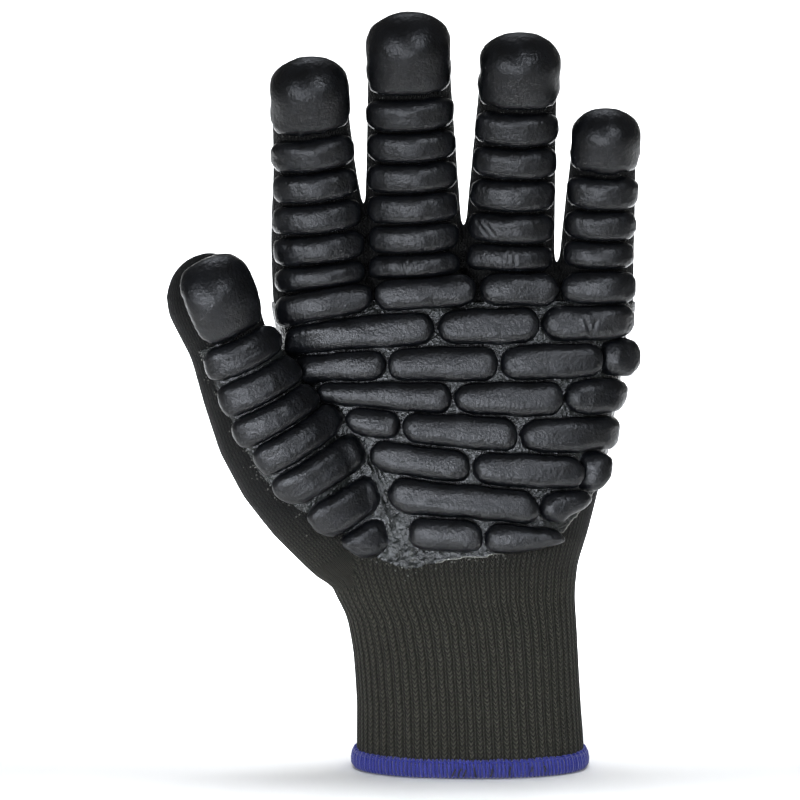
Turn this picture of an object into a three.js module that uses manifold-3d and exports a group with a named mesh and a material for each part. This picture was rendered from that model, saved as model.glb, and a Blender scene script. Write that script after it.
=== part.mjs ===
import * as THREE from 'three';
import { mergeVertices } from 'three/addons/utils/BufferGeometryUtils.js';
import Module from 'manifold-3d';

// Anti vibration glove for the left hand, standing on its hem and filled as if worn.
// Millimetres. Z runs from the hem to the fingertips, the palm looks along -Y, the thumb is at -X.

// Driving sizes of a size 10 work glove
const gloveLength = 260;
const palmWidth = 112;
const palmDepth = 36;
const knitWall = 1.6;
const clearance = 0.35;
const filmThickness = 0.8;
const ribHeight = gloveLength * 0.0335;
const thumbRibHeight = gloveLength * 0.0373;
const ribThickness = 4.6;
const tipSpacing = gloveLength * 0.0165;
const palmPadHeight = gloveLength * 0.0358;
const palmPadThickness = 5.2;
const palmPadSpacing = 1.5;
const tipPadThickness = 3.2;
const hemHeight = 5.2;
const hemFloor = 1.15;
const hemSide = 1.7;

// How round the pieces are
const fingerSegments = 14;
const liningSegments = 12;
const handSegments = 28;
const handPower = 2.35;
const knuckles = 0.59;
const palmHollow = 0.1;
const fineness = 0.1;

// Cross sections of the cuff and palm: height as a share of the glove length, the two sides
// as shares of the palm width, and how far the front and back stand out, as shares of its depth.
const handSections = [
  { z: 0.0, left: -0.344, right: 0.353, front: 0.72, back: 0.72 },
  { z: 0.09, left: -0.343, right: 0.337, front: 0.72, back: 0.72 },
  { z: 0.155, left: -0.354, right: 0.329, front: 0.71, back: 0.7 },
  { z: 0.2, left: -0.373, right: 0.323, front: 0.69, back: 0.68 },
  { z: 0.23, left: -0.41, right: 0.319, front: 0.66, back: 0.65 },
  { z: 0.27, left: -0.446, right: 0.328, front: 0.62, back: 0.61 },
  { z: 0.315, left: -0.473, right: 0.362, front: 0.58, back: 0.58 },
  { z: 0.377, left: -0.5, right: 0.398, front: 0.54, back: 0.55 },
  { z: 0.46, left: -0.54, right: 0.432, front: 0.51, back: 0.52 },
  { z: 0.54, left: -0.567, right: 0.4625, front: 0.46, back: 0.47 },
  { z: 0.59, left: -0.585, right: 0.473, front: 0.41, back: 0.42 },
  { z: 0.625, left: -0.59, right: 0.477, front: 0.33, back: 0.34 },
  { z: 0.645, left: -0.57, right: 0.465, front: 0.2, back: 0.22 },
];

// The fingers: root and length as shares of the palm width and glove length, the first rib's place
// below the end and the ribs' pitch as shares of the glove length, half widths from root to tip as
// shares of the palm width, lean and curl in degrees at root and tip.
const fingers = [
  {
    name: 'index', x: -0.451, z: 0.608, y: 0, length: 0.284, ribs: 5, firstRib: 0.0658, pitch: 0.0435,
    half: [0.15, 0.146, 0.124, 0.114], lean: [-2.6, -3.9], curl: [3, 22], roll: 0, slant: 3.5, depth: 0.84,
  },
  {
    name: 'middle', x: -0.167, z: 0.608, y: 0, length: 0.344, ribs: 6, firstRib: 0.0742, pitch: 0.0423,
    half: [0.153, 0.146, 0.133, 0.122], lean: [-1.6, -1.6], curl: [3, 21], roll: 0, slant: 1.5, depth: 0.82,
  },
  {
    name: 'ring', x: 0.11, z: 0.608, y: 0, length: 0.318, ribs: 5, firstRib: 0.0662, pitch: 0.0454,
    half: [0.144, 0.136, 0.125, 0.116], lean: [2.7, 2.4], curl: [3, 22], roll: 0, slant: 1, depth: 0.83,
  },
  {
    name: 'little', x: 0.378, z: 0.608, y: 0, length: 0.225, ribs: 3, firstRib: 0.0608, pitch: 0.0446,
    half: [0.12, 0.112, 0.105, 0.095], lean: [2.8, 2.8], curl: [3, 20], roll: 0, slant: 1, depth: 0.88,
  },
];

const thumb = {
  name: 'thumb', x: -0.383, z: 0.301, y: -0.045, length: 0.3715, firstRib: 0.0745, over: 64,
  half: [0.14, 0.168, 0.176, 0.157, 0.122, 0.138], lean: [-37.5, -18.5], curl: [4, 13], roll: 20, slant: 0, depth: 0.86,
};

// The thumb's ribs: how far below its end each one lies, as a share of the glove length, its slant,
// and where it starts and ends around the thumb, in degrees from its pad side
const thumbRibs = [
  { below: 0.072, slant: 0, from: -56, to: 53 },
  { below: 0.122, slant: -2, from: -52, to: 50 },
  { below: 0.167, slant: -2, from: -50, to: 48 },
  { below: 0.212, slant: 0, from: -44, to: 58 },
  { below: 0.266, slant: -3, from: -43, to: 58 },
  { below: 0.321, slant: -8, from: -30, to: 58 },
  { below: 0.374, slant: -4, from: -18, to: 44 },
];
const thumbTip = { from: -46, to: 50 };

// How far ribs reach round a finger, in degrees either side, at its root and at its tip
const ribReach = { root: 53, tip: 64 };
const tipReach = 68;
const tipOver = 76;

// Rows of palm pads from the knuckles down: the cuts between pads as shares of the palm width,
// the level of the row at each cut as a share of the glove length, and its pad height there.
const palmRows = [
  {
    row: 'a', cuts: [-0.581, -0.284, 0.02, 0.255, 0.48],
    levels: [0.6, 0.628, 0.636, 0.635, 0.637],
    heights: [1, 0.95, 0.95, 0.95, 1],
  },
  {
    row: 'b', cuts: [-0.546, -0.103, 0.198, 0.48],
    levels: [0.566, 0.585, 0.59, 0.595],
    heights: [0.85, 1, 1.05, 1.05],
  },
  {
    row: 'c', cuts: [-0.518, -0.245, 0.078, 0.388, 0.48],
    levels: [0.529, 0.537, 0.538, 0.544, 0.546],
    heights: [0.75, 0.95, 1.08, 1, 0.9],
  },
  {
    row: 'd', cuts: [-0.443, -0.061, 0.267, 0.457],
    levels: [0.5, 0.494, 0.494, 0.498],
    heights: [0.5, 0.95, 1.05, 0.95],
  },
  {
    row: 'e', cuts: [-0.365, -0.205, 0.135, 0.436],
    levels: [0.468, 0.459, 0.445, 0.446],
    heights: [0.72, 0.93, 1, 1],
  },
  {
    row: 'f', cuts: [-0.293, -0.002, 0.329, 0.399],
    levels: [0.422, 0.404, 0.395, 0.402],
    heights: [0.85, 0.97, 1, 0.85],
  },
  {
    row: 'g', cuts: [-0.241, 0.194, 0.352],
    levels: [0.371, 0.349, 0.363],
    heights: [1.05, 1, 0.55],
  },
  {
    row: 'h', cuts: [-0.188, 0.037, 0.246],
    levels: [0.318, 0.313, 0.31],
    heights: [1.05, 1, 0.45],
  },
];

// Lower edge of the rubber film across the heel of the hand, from the little finger's side
const filmHeel = [
  { x: 0.53, z: 0.399 },
  { x: 0.4, z: 0.397 },
  { x: 0.383, z: 0.38 },
  { x: 0.353, z: 0.354 },
  { x: 0.305, z: 0.334 },
  { x: 0.262, z: 0.311 },
  { x: 0.163, z: 0.293 },
  { x: 0.042, z: 0.28 },
  { x: -0.094, z: 0.282 },
  { x: -0.199, z: 0.273 },
  { x: -0.275, z: 0.286 },
  { x: -0.38, z: 0.318 },
];
const filmTop = 0.632;
const filmSide = 0.63;
const filmOnThumb = { root: 0.2, tip: 0.76 };

const DEG = Math.PI / 180;
const wasm = await Module();
wasm.setup();

// Joins and cuts work on closed meshes with shared corners
function solid(vertices, faces) {
  const geometry = new THREE.BufferGeometry();
  geometry.setAttribute('position', new THREE.Float32BufferAttribute(vertices.flatMap((v) => v.toArray()), 3));
  geometry.setIndex(faces);
  const merged = mergeVertices(geometry, 1e-4);
  const triVerts = new Uint32Array(merged.index.array);
  const made = new wasm.Manifold(
    new wasm.Mesh({ numProp: 3, vertProperties: merged.attributes.position.array, triVerts }),
  );
  if (made.volume() > 0) return made;
  for (let i = 0; i < triVerts.length; i += 3) {
    [triVerts[i + 1], triVerts[i + 2]] = [triVerts[i + 2], triVerts[i + 1]];
  }
  return new wasm.Manifold(
    new wasm.Mesh({ numProp: 3, vertProperties: merged.attributes.position.array, triVerts }),
  );
}

// A closed skin over equal rings of points, with a point at each end
function skin(rings, start, end) {
  const count = rings[0].length;
  const vertices = [...rings.flat(), start, end];
  const first = rings.length * count;
  const faces = [];
  for (let i = 0; i < count; i++) {
    const j = (i + 1) % count;
    faces.push(first, j, i);
    for (let r = 0; r + 1 < rings.length; r++) {
      const a = r * count;
      faces.push(a + i, a + j, a + count + j, a + i, a + count + j, a + count + i);
    }
    const last = (rings.length - 1) * count;
    faces.push(last + i, last + j, first + 1);
  }
  return solid(vertices, faces);
}

const middleOf = (points) =>
  points.reduce((sum, p) => sum.add(p), new THREE.Vector3()).divideScalar(points.length);

const unite = (solids) => solids.reduce((a, b) => a.add(b));

// The cuff and palm: one section at height z, then a point around it, pushed out by offset
function handSection(z) {
  const share = THREE.MathUtils.clamp(z / gloveLength, handSections[0].z, handSections.at(-1).z);
  const i = Math.max(1, handSections.findIndex((s) => s.z >= share));
  const [low, high] = [handSections[i - 1], handSections[i]];
  const t = (share - low.z) / (high.z - low.z);
  const at = (key) => THREE.MathUtils.lerp(low[key], high[key], t);
  return {
    centre: ((at('left') + at('right')) / 2) * palmWidth,
    half: ((at('right') - at('left')) / 2) * palmWidth,
    front: at('front') * palmDepth,
    back: at('back') * palmDepth,
  };
}

const power = (value, exponent) => Math.sign(value) * Math.abs(value) ** exponent;

// Turn 0 is the palm side, 90 degrees the little finger's side
function handPoint(turn, z, offset, section = handSection(z)) {
  const u = power(Math.sin(turn), 2 / handPower);
  const v = power(Math.cos(turn), 2 / handPower);
  const hollowAt = THREE.MathUtils.smoothstep(z / gloveLength, 0.28, 0.42);
  const hollow = v > 0 ? 1 - palmHollow * hollowAt * Math.cos(turn) ** 4 : 1;
  const deep = v > 0 ? section.front * hollow + offset : section.back + offset;
  return new THREE.Vector3(section.centre + (section.half + offset) * u, -deep * v, z);
}

function handTurn(x, z, offset) {
  const { centre, half } = handSection(z);
  const u = THREE.MathUtils.clamp((x - centre) / (half + offset), -1, 1);
  return Math.asin(power(u, handPower / 2));
}

function handLoft(offset, segments, low) {
  const heights = [low, ...handSections.map((s) => s.z * gloveLength).filter((z) => z > low)];
  heights[heights.length - 1] += offset;
  const rings = heights.map((z) =>
    Array.from({ length: segments }, (_, i) => handPoint((i / segments) * 360 * DEG, z, offset)),
  );
  return skin(rings, middleOf(rings[0]), middleOf(rings.at(-1)));
}

// A finger's centre line, b millimetres above its root, with the directions across it
function fingerFrame(finger, b) {
  const length = finger.length * gloveLength;
  const at = new THREE.Vector3(finger.x * palmWidth, finger.y * palmWidth, finger.z * gloveLength);
  const heading = (t) => {
    const lean = THREE.MathUtils.lerp(...finger.lean, t) * DEG;
    const curl = THREE.MathUtils.lerp(...finger.curl, t) * DEG;
    const side = new THREE.Vector3(Math.cos(lean), 0, -Math.sin(lean));
    const along = new THREE.Vector3(
      Math.sin(lean) * Math.cos(curl), -Math.sin(curl), Math.cos(lean) * Math.cos(curl),
    );
    return { side, along };
  };
  const steps = 24;
  for (let i = 0; i < steps; i++) {
    const t = ((i + 0.5) / steps) * (b / length);
    at.addScaledVector(heading(THREE.MathUtils.clamp(t, 0, 1)).along, b / steps);
  }
  const { side, along } = heading(THREE.MathUtils.clamp(b / length, 0, 1));
  const palmar = new THREE.Vector3().crossVectors(side, along);
  side.applyAxisAngle(along, finger.roll * DEG);
  palmar.applyAxisAngle(along, finger.roll * DEG);
  return { at, side, along, palmar };
}

function fingerHalf(finger, b) {
  const t = THREE.MathUtils.clamp(b / (finger.length * gloveLength), 0, 1);
  const curve = new THREE.SplineCurve(finger.half.map((h, i) => new THREE.Vector2(i, h)));
  return curve.getPoint(t).y * palmWidth;
}

// A point on a finger: turn around it from the pad side, b up it; past the end b runs over the dome
function fingerPoint(finger, turn, b, offset) {
  const length = finger.length * gloveLength;
  const inside = Math.min(b, length);
  const { at, side, along, palmar } = fingerFrame(finger, inside);
  const half = fingerHalf(finger, inside);
  const wide = half + offset;
  const deep = half * finger.depth + offset;
  const over = (b - inside) / half;
  return at
    .addScaledVector(side, wide * Math.sin(turn))
    .addScaledVector(palmar, deep * Math.cos(turn) * Math.cos(over))
    .addScaledVector(along, wide * Math.cos(turn) * Math.sin(over));
}

function fingerLoft(finger, offset, segments) {
  const length = finger.length * gloveLength;
  const bands = offset < 0 ? 4 : 6;
  const domes = [0.4, 0.75, 0.95];
  const ring = (b, shrink, rise) => {
    const { at, side, along, palmar } = fingerFrame(finger, b);
    const wide = fingerHalf(finger, b) + offset;
    const deep = fingerHalf(finger, b) * finger.depth + offset;
    at.addScaledVector(along, rise * wide);
    return Array.from({ length: segments }, (_, i) => {
      const turn = (i / segments) * 360 * DEG;
      return at
        .clone()
        .addScaledVector(side, wide * shrink * Math.sin(turn))
        .addScaledVector(palmar, deep * shrink * Math.cos(turn));
    });
  };
  const dome = (b, rise) => ring(b, Math.sqrt(1 - rise * rise), rise);
  const rings = [
    ...domes.slice(0, 2).reverse().map((rise) => dome(0, -rise)),
    ...Array.from({ length: bands + 1 }, (_, i) => ring((i / bands) * length, 1, 0)),
    ...domes.map((rise) => dome(length, rise)),
  ];
  const tip = (b, sign) => {
    const { at, along } = fingerFrame(finger, b);
    return at.addScaledVector(along, sign * (fingerHalf(finger, b) + offset));
  };
  return skin(rings, tip(0, -1), tip(length, 1));
}

// The filled form of the hand, grown or shrunk by offset
function form(offset, segments = fingerSegments, low = 0) {
  return unite([
    handLoft(offset, handSegments, low),
    ...[...fingers, thumb].map((finger) => fingerLoft(finger, offset, segments)),
  ]);
}

// A pad: a D shaped section carried along a line on its host, with round ends.
// The line runs from u0 to u1; place(u, v, lift) gives the point v across it and lift above the host.
const padSection = [
  { across: -1, lift: 0 },
  { across: -1, lift: 0.55 },
  { across: -0.55, lift: 1 },
  { across: 0.55, lift: 1 },
  { across: 1, lift: 0.55 },
  { across: 1, lift: 0 },
];

function pad({ place, long, heights, thickness, middles, section = padSection, ends = 0.5 }) {
  const corner = Math.min(heights[0] * ends, long / 2);
  const near = [1 - Math.cos(50 * DEG), 1].map((e) => (e * corner) / long);
  const middle = Array.from({ length: middles }, (_, i) =>
    THREE.MathUtils.lerp(near[1], 1 - near[1], (i + 1) / (middles + 1)),
  );
  const stations = [...near, ...middle, ...near.map((s) => 1 - s).reverse()];
  const rings = stations.map((s) => {
    const fromEnd = Math.min(s, 1 - s) * long;
    const full = fromEnd < corner ? Math.sqrt(1 - (1 - fromEnd / corner) ** 2) : 1;
    const height = THREE.MathUtils.lerp(...heights, s) * full;
    return section.map(({ across, lift }) => place(s, (across * height) / 2, lift * thickness * full ** 0.6));
  });
  const end = (s) => place(s, 0, thickness * 0.22);
  return skin(rings, end(0), end(1));
}

// The pads stand this far off the filled form: on the knit, and on the rubber film
const chordRoom = 0.25;
const onKnit = clearance + chordRoom;
const onFilm = clearance + filmThickness + clearance + chordRoom;

// Rib pads thin out where they reach round to the side of a finger
const thinning = (turn) => 0.1 + 0.9 * Math.max(Math.cos(turn), 0) ** 0.8;

function fingerRib(finger, b, height, { from, to, slant }, base) {
  const half = fingerHalf(finger, b);
  const place = (s, v, lift) => {
    const turn = THREE.MathUtils.lerp(from, to, s) * DEG;
    const level = b + v + Math.tan(slant * DEG) * half * turn;
    return fingerPoint(finger, turn, level, base + lift * thinning(turn));
  };
  const long = half * (to - from) * DEG;
  return pad({ place, long, heights: [height, height], thickness: ribThickness, middles: 4 });
}

// The fingertip pad runs from above the first rib over the end of the finger
const tipSection = [
  { across: -1, lift: 0 },
  { across: -1, lift: 0.6 },
  { across: -0.75, lift: 1 },
  { across: 0, lift: 1 },
  { across: 0.4, lift: 1 },
  { across: 0.75, lift: 0.95 },
  { across: 0.95, lift: 0.6 },
  { across: 1, lift: 0 },
  { across: 0.7, lift: 0 },
  { across: 0.4, lift: 0 },
  { across: 0.1, lift: 0 },
];

function tipPad(finger, from, to) {
  const length = finger.length * gloveLength;
  const half = fingerHalf(finger, length);
  const low = length - finger.firstRib * gloveLength + ribHeight / 2 + tipSpacing;
  const high = length + half * (finger.over ?? tipOver) * DEG;
  const place = (s, v, lift) => {
    const turn = THREE.MathUtils.lerp(from, to, s) * DEG;
    const b = (low + high) / 2 + v;
    const level = b + Math.tan(finger.slant * DEG) * half * turn;
    return fingerPoint(finger, turn, level, onKnit + chordRoom + lift * thinning(turn));
  };
  const long = half * (to - from) * DEG;
  const heights = [high - low, high - low];
  return pad({ place, long, heights, thickness: tipPadThickness, middles: 5, section: tipSection, ends: 0.16 });
}

// Near the knuckles the roots of the fingers stand out in front of the palm
function overRoots(point, offset) {
  for (const finger of fingers) {
    const rise = point.z - finger.z * gloveLength;
    const { at } = fingerFrame(finger, rise);
    const half = fingerHalf(finger, Math.max(rise, 0));
    const full = rise < 0 ? Math.sqrt(Math.max(1 - (rise / half) ** 2, 0)) : 1;
    const across = (point.x - at.x) / (half * full + offset);
    if (Math.abs(across) > 1) continue;
    const deep = (half * finger.depth * full + offset) * Math.sqrt(1 - across ** 2);
    point.y = Math.min(point.y, at.y - deep);
  }
  return point;
}

function palmPads({ row, cuts, levels, heights }) {
  return cuts.slice(0, -1).map((cut, i) => {
    const left = cut * palmWidth + palmPadSpacing / 2;
    const right = cuts[i + 1] * palmWidth - palmPadSpacing / 2;
    const [z0, z1] = [levels[i] * gloveLength, levels[i + 1] * gloveLength];
    const reach = 80 * DEG;
    const turn0 = Math.max(handTurn(left, z0, onFilm), -reach);
    const turn1 = Math.min(handTurn(right, z1, onFilm), reach);
    const place = (s, v, lift) => {
      const turn = THREE.MathUtils.lerp(turn0, turn1, s);
      const z = THREE.MathUtils.lerp(z0, z1, s);
      const section = handSection(Math.min(z, knuckles * gloveLength));
      const thin = Math.abs(turn) > 60 * DEG ? 0.8 : 1;
      return overRoots(handPoint(turn, z + v, onFilm + lift * thin, section), onFilm + lift * thin);
    };
    return {
      name: `palm_pad_${row}${i + 1}`,
      made: pad({
        place, long: right - left, thickness: palmPadThickness, middles: right - left > 20 ? 3 : 2,
        heights: [heights[i], heights[i + 1]].map((h) => h * palmPadHeight),
      }),
    };
  });
}

function film() {
  const at = ({ x, z }) => new THREE.Vector2(x * palmWidth, z * gloveLength);
  const thumbLength = thumb.length * gloveLength;
  const top = thumbLength - thumb.firstRib * gloveLength + ribHeight / 2;
  const steps = 6;
  const onThumb = Array.from({ length: steps }, (_, i) => {
    const b = (top * (i + 1)) / steps;
    const { at: centre } = fingerFrame(thumb, b);
    const lean = THREE.MathUtils.lerp(...thumb.lean, b / thumbLength) * DEG;
    const out = fingerHalf(thumb, b) * THREE.MathUtils.lerp(filmOnThumb.root, filmOnThumb.tip, b / top);
    return new THREE.Vector2(centre.x - out * Math.cos(lean), centre.z + out * Math.sin(lean));
  });
  const { at: crown } = fingerFrame(thumb, top);
  const half = fingerHalf(thumb, top);
  const outline = [
    at({ x: filmSide, z: filmTop }),
    ...filmHeel.map(at),
    ...onThumb,
    new THREE.Vector2(crown.x + half * 1.2, crown.z + half * 0.27),
    at({ x: -filmSide, z: filmTop }),
  ];
  const prism = new THREE.ExtrudeGeometry(new THREE.Shape(outline), {
    depth: palmWidth, bevelEnabled: false, curveSegments: 1,
  });
  prism.rotateX(Math.PI / 2);
  prism.translate(0, -1, 0);
  prism.deleteAttribute('normal');
  prism.deleteAttribute('uv');
  const merged = mergeVertices(prism, 1e-4);
  const corners = [];
  for (let i = 0; i < merged.attributes.position.count; i++) {
    corners.push(new THREE.Vector3().fromBufferAttribute(merged.attributes.position, i));
  }
  const cutter = solid(corners, [...merged.index.array]);
  const parts = form(clearance + filmThickness).intersect(cutter).subtract(form(clearance)).decompose();
  return parts.reduce((a, b) => (a.volume() > b.volume() ? a : b)).simplify(fineness);
}

// The overlocked hem wraps the lower edge of the knit, inside and out
function hem() {
  const inner = -knitWall - clearance;
  const profile = [
    { offset: inner, z: hemHeight - 0.4 },
    { offset: inner, z: hemFloor },
    { offset: clearance, z: hemFloor },
    { offset: clearance, z: hemHeight - 0.4 },
    { offset: clearance + hemSide * 0.5, z: hemHeight },
    { offset: clearance + hemSide, z: hemHeight * 0.45 },
    { offset: clearance + hemSide * 0.4, z: 0 },
    { offset: inner - hemSide * 0.4, z: 0 },
    { offset: inner - hemSide * 0.75, z: hemHeight * 0.5 },
  ];
  const vertices = [];
  const faces = [];
  for (let i = 0; i < handSegments; i++) {
    const turn = (i / handSegments) * 360 * DEG;
    profile.forEach(({ offset, z }) => vertices.push(handPoint(turn, z, offset)));
  }
  const count = profile.length;
  for (let i = 0; i < handSegments; i++) {
    const here = i * count;
    const next = ((i + 1) % handSegments) * count;
    for (let k = 0; k < count; k++) {
      const j = (k + 1) % count;
      faces.push(here + k, here + j, next + j, here + k, next + j, next + k);
    }
  }
  return solid(vertices, faces);
}

// Materials
const rubber = new THREE.MeshStandardMaterial({ color: 0x15171a, roughness: 0.5, metalness: 0 });
const coating = new THREE.MeshStandardMaterial({ color: 0x101211, roughness: 0.4, metalness: 0 });
const knit = new THREE.MeshStandardMaterial({ color: 0x17180f, roughness: 0.9, metalness: 0 });
const overlock = new THREE.MeshStandardMaterial({ color: 0x2f35a0, roughness: 0.8, metalness: 0 });

const glove = new THREE.Group();
glove.name = 'anti_vibration_glove';

function addPiece(name, made, material) {
  const { vertProperties, triVerts, numProp } = made.getMesh();
  const geometry = new THREE.BufferGeometry();
  const positions = new Float32Array((vertProperties.length / numProp) * 3);
  for (let i = 0; i < positions.length / 3; i++) {
    positions.set(vertProperties.subarray(i * numProp, i * numProp + 3), i * 3);
  }
  geometry.setAttribute('position', new THREE.BufferAttribute(positions, 3));
  geometry.setIndex([...triVerts]);
  geometry.computeVertexNormals();
  const mesh = new THREE.Mesh(geometry, material.clone());
  mesh.name = name;
  glove.add(mesh);
}

// The seamless knitted glove, open at the wrist
const outside = form(0, fingerSegments, hemFloor + clearance);
const lining = form(-knitWall, liningSegments, -hemHeight);
addPiece('knit_shell', outside.subtract(lining).simplify(fineness), knit);
addPiece('cuff_hem', hem(), overlock);
addPiece('palm_coating', film(), coating);

// Pads on the fingers lie on the knit, those of the thumb and palm on the film
const bare = form(clearance);
const filmed = form(clearance + filmThickness + clearance);
const clearOf = (made, under) =>
  made.intersect(under).volume() > 1e-3 ? made.subtract(under).simplify(fineness) : made;
const ribAt = (finger, i) => (finger.length - finger.firstRib - finger.pitch * i) * gloveLength;

for (const finger of fingers) {
  addPiece(`${finger.name}_tip_pad`, clearOf(tipPad(finger, -tipReach, tipReach), bare), rubber);
  for (let i = 0; i < finger.ribs; i++) {
    const last = i === finger.ribs - 1;
    const reach = THREE.MathUtils.lerp(ribReach.tip, ribReach.root, (i + 1) / finger.ribs);
    const height = last ? ribHeight * 0.86 : ribHeight;
    const span = { from: -reach, to: reach, slant: finger.slant };
    const rib = fingerRib(finger, ribAt(finger, last ? i - 0.12 : i), height, span, onKnit);
    addPiece(`${finger.name}_rib_${i + 1}`, clearOf(rib, bare), rubber);
  }
}
addPiece('thumb_tip_pad', clearOf(tipPad(thumb, thumbTip.from, thumbTip.to), bare), rubber);
thumbRibs.forEach((span, i) => {
  const b = (thumb.length - span.below) * gloveLength;
  const rib = fingerRib(thumb, b, thumbRibHeight, span, onFilm);
  addPiece(`thumb_rib_${i + 1}`, clearOf(rib, filmed), rubber);
});
for (const row of palmRows) {
  for (const { name, made } of palmPads(row)) addPiece(name, clearOf(made, filmed), rubber);
}

export default glove;
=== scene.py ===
# %% [markdown]
# # An anti vibration glove for the left hand
# The glove stands on its hem, filled as if worn, with its palm towards the camera. A seamless black
# knit carries rows of rubber cushions over the palm, the fingers and the thumb, a thin rubber film
# joins the cushions on the palm, and a blue overlock thread finishes the cuff. The solids of the
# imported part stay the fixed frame; each visible piece is dressed around the solid it stands for.

import math

import bmesh
import bpy
import numpy as np
from mathutils import Matrix, Vector, noise
from mathutils.bvhtree import BVHTree
from mathutils.kdtree import KDTree


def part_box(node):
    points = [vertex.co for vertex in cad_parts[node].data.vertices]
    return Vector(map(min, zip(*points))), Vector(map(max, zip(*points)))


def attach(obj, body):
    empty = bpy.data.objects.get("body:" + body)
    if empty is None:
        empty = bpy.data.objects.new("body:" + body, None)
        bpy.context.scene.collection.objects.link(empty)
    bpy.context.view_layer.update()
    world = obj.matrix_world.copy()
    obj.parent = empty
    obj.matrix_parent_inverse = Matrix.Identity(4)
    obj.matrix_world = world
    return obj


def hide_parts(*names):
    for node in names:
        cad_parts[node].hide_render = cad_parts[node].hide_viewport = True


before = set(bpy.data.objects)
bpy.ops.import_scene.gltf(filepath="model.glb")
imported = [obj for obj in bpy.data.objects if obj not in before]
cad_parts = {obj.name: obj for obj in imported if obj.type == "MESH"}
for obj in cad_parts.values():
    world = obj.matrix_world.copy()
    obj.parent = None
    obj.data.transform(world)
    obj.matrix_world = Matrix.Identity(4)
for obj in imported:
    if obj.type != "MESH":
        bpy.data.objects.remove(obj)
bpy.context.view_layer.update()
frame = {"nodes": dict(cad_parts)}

# %% [markdown]
# ## Camera, floor and light
# The photo looks straight at the palm from slightly above the middle of the glove, with a long lens.
# A long lens is a distant camera with a small angle, so the fingers don't grow towards it. The floor
# is a plain pale sheet that curves up behind the glove, as a photographer's paper roll does, because
# a curve leaves no line where the floor meets the wall.

# %% The camera at the photo's viewing angle
MM = 0.001
scene = bpy.context.scene

look_at = Vector((-24 * MM, 0, 126.5 * MM))
camera_distance = 1.2
camera_rise = math.radians(4)
view_width = 274.4 * MM

camera = bpy.data.objects.new("photo_camera", bpy.data.cameras.new("photo_camera"))
scene.collection.objects.link(camera)
camera.data.lens = camera.data.sensor_width * camera_distance / view_width
back = Vector((0, -math.cos(camera_rise), math.sin(camera_rise)))
camera.location = look_at + back * camera_distance
camera.rotation_euler = (-back).to_track_quat("-Z", "Y").to_euler()
scene.camera = camera
print("The lens is", round(camera.data.lens), "mm long")

# %% A paper roll as the floor
floor_half = 2.2
wall_distance = 1.65
wall_height = 1.1
bend_radius = 0.5
bend_steps = 16

bm = bmesh.new()
front = [bm.verts.new((x, -floor_half, 0)) for x in (-floor_half, floor_half)]
edge = bm.edges.new(front)
profile = [(wall_distance - bend_radius, 0)]
for step in range(1, bend_steps + 1):
    turn = math.pi / 2 * step / bend_steps
    profile.append((
        wall_distance - bend_radius + bend_radius * math.sin(turn),
        bend_radius * (1 - math.cos(turn)),
    ))
profile.append((wall_distance, wall_height))
here = (-floor_half, 0)
for y, z in profile:
    strip = bmesh.ops.extrude_edge_only(bm, edges=[edge])["geom"]
    ends = [v for v in strip if isinstance(v, bmesh.types.BMVert)]
    edge = next(e for e in strip if isinstance(e, bmesh.types.BMEdge) and set(e.verts) == set(ends))
    bmesh.ops.translate(bm, verts=ends, vec=(0, y - here[0], z - here[1]))
    here = (y, z)
bm.faces.ensure_lookup_table()
if bm.faces[0].normal.z < 0:
    bmesh.ops.reverse_faces(bm, faces=bm.faces)
for face in bm.faces:
    face.smooth = True
floor_mesh = bpy.data.meshes.new("paper_floor")
bm.to_mesh(floor_mesh)
bm.free()
floor = bpy.data.objects.new("paper_floor", floor_mesh)
scene.collection.objects.link(floor)
print("The paper floor has", len(floor_mesh.polygons), "faces")

# %% Soft studio lights
scene.view_settings.view_transform = "Standard"
scene.world = bpy.data.worlds.new("studio")
scene.world.use_nodes = True
sky = scene.world.node_tree.nodes["Background"]
sky.inputs["Color"].default_value = (1, 1, 1, 1)
sky.inputs["Strength"].default_value = 0.1

# Name, place, size, power, aim and spread of each softbox. Two in front light the glove. A long low one
# with a narrow spread draws the highlights along the cushions of the palm and leaves the fingers
# darker. The last two light only the paper, behind the glove and before its hem, so that the black
# stays black.
softboxes = [
    ("softbox_left", (-0.8, -1.1, 0.1), (0.5, 0.5), 6.3, look_at, 180),
    ("softbox_right", (0.5, -1.15, 0.6), (0.3, 0.3), 3.9, look_at, 180),
    ("softbox_low", (-0.12, -0.6, 0.05), (1.1, 0.08), 0.46, Vector((-0.03, 0, 0.1)), 50),
    ("softbox_paper", (0, 0.3, 1.0), (1.3, 0.3), 38, Vector((0, 0.86, 0.1)), 108),
    ("softbox_floor", (-0.024, -0.32, 0.6), (0.5, 0.04), 0.3, Vector((-0.024, -0.12, 0)), 20),
]
softbox_colour = (0.93, 0.98, 1.08)
for name, place, size, power, aim, spread in softboxes:
    lamp = bpy.data.lights.new(name, "AREA")
    lamp.shape = "RECTANGLE"
    lamp.size, lamp.size_y = size
    lamp.energy = power
    lamp.spread = math.radians(spread)
    lamp.color = softbox_colour
    box = bpy.data.objects.new(name, lamp)
    box.location = place
    box.rotation_euler = (aim - Vector(place)).to_track_quat("-Z", "Y").to_euler()
    scene.collection.objects.link(box)
print("There are", len(softboxes), "softboxes")

# %% [markdown]
# ## Working on meshes
# Every piece starts from the solid it stands for, so it sits where the frame says. The exported solid
# is loose triangles, and joining their corners makes it one closed mesh that the tools can work on.

# %% Helpers for meshes
def merged_copy(node):
    """A bmesh copy of a solid, with the corners of its loose triangles joined."""
    bm = bmesh.new()
    bm.from_mesh(frame["nodes"][node].data)
    bmesh.ops.remove_doubles(bm, verts=bm.verts, dist=0.01 * MM)
    return bm


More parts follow.
